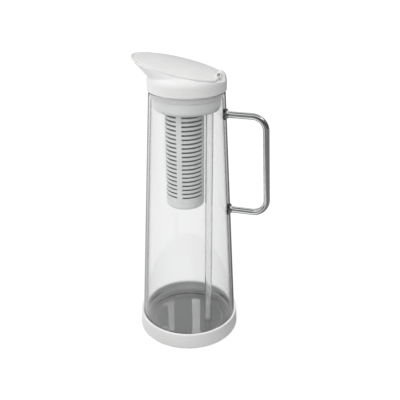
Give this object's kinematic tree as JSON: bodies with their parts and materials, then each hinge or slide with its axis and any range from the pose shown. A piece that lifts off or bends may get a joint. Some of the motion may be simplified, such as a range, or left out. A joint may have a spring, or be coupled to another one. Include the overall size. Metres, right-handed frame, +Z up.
{
  "type": "water filter pitcher",
  "caption": "Tapered glass pitcher with a rod handle and base cup; its lid has a beak-shaped spout under a hinged flap and carries a slotted filter and an air tube.",
  "frame": {"origin": "centre of the base cup's underside, on the jug's axis, where it stands on the table", "axes": "+Z up along the jug axis, +X towards the handle, -X towards the spout"},
  "size_m": [0.1592, 0.1244, 0.3388],
  "materials": {
    "glass": "clear blown glass, fire polished",
    "handle_steel": "polished stainless steel rod",
    "white_shell": "satin white moulded plastic",
    "liner": "grey soft liner",
    "stopper": "pale moulded plastic",
    "seal": "translucent white silicone",
    "dark_seal": "dark rubber",
    "steel": "drawn steel pin",
    "clear_tube": "clear tube",
    "filter_white": "white moulded plastic",
    "filter_dark": "dark grey moulded plastic",
    "mesh": "fine dark grey mesh",
    "carbon": "pressed carbon"
  },
  "bodies": {
    "jug": {"jug_body": "glass", "jug_handle": "handle_steel", "base_cup": "white_shell", "base_liner": "liner"},
    "seal": {"neck_seal": "seal"},
    "lid": {"lid_head": "white_shell", "plug": "stopper", "hinge_pin": "steel", "air_tube": "clear_tube", "tube_bush": "seal", "spigot_ring": "dark_seal"},
    "flap": {"spout_flap": "white_shell"},
    "filter": {"filter_sleeve": "filter_white", "filter_cap": "filter_white", "filter_collar": "filter_dark", "filter_mesh": "mesh", "carbon_block": "carbon", "washer_top": "seal", "washer_bottom": "seal"}
  },
  "joints": [
    {"name": "lid_lift", "type": "slide", "parent": "jug", "child": "seal", "axis": [0, 0, 1], "range_m": [0, 0.32]},
    {"name": "lid_turn", "type": "hinge", "parent": "seal", "child": "lid", "pos_m": [0, 0, 0.3], "axis": [0, 0, 1], "continuous": true},
    {"name": "flap_hinge", "type": "hinge", "parent": "lid", "child": "flap", "pos_m": [0.0365, 0, 0.322], "axis": [0, 1, 0], "range_deg": [0, 100]},
    {"name": "filter_pull", "type": "slide", "parent": "lid", "child": "filter", "axis": [0, 0, -1], "range_m": [0, 0.012]}
  ]
}
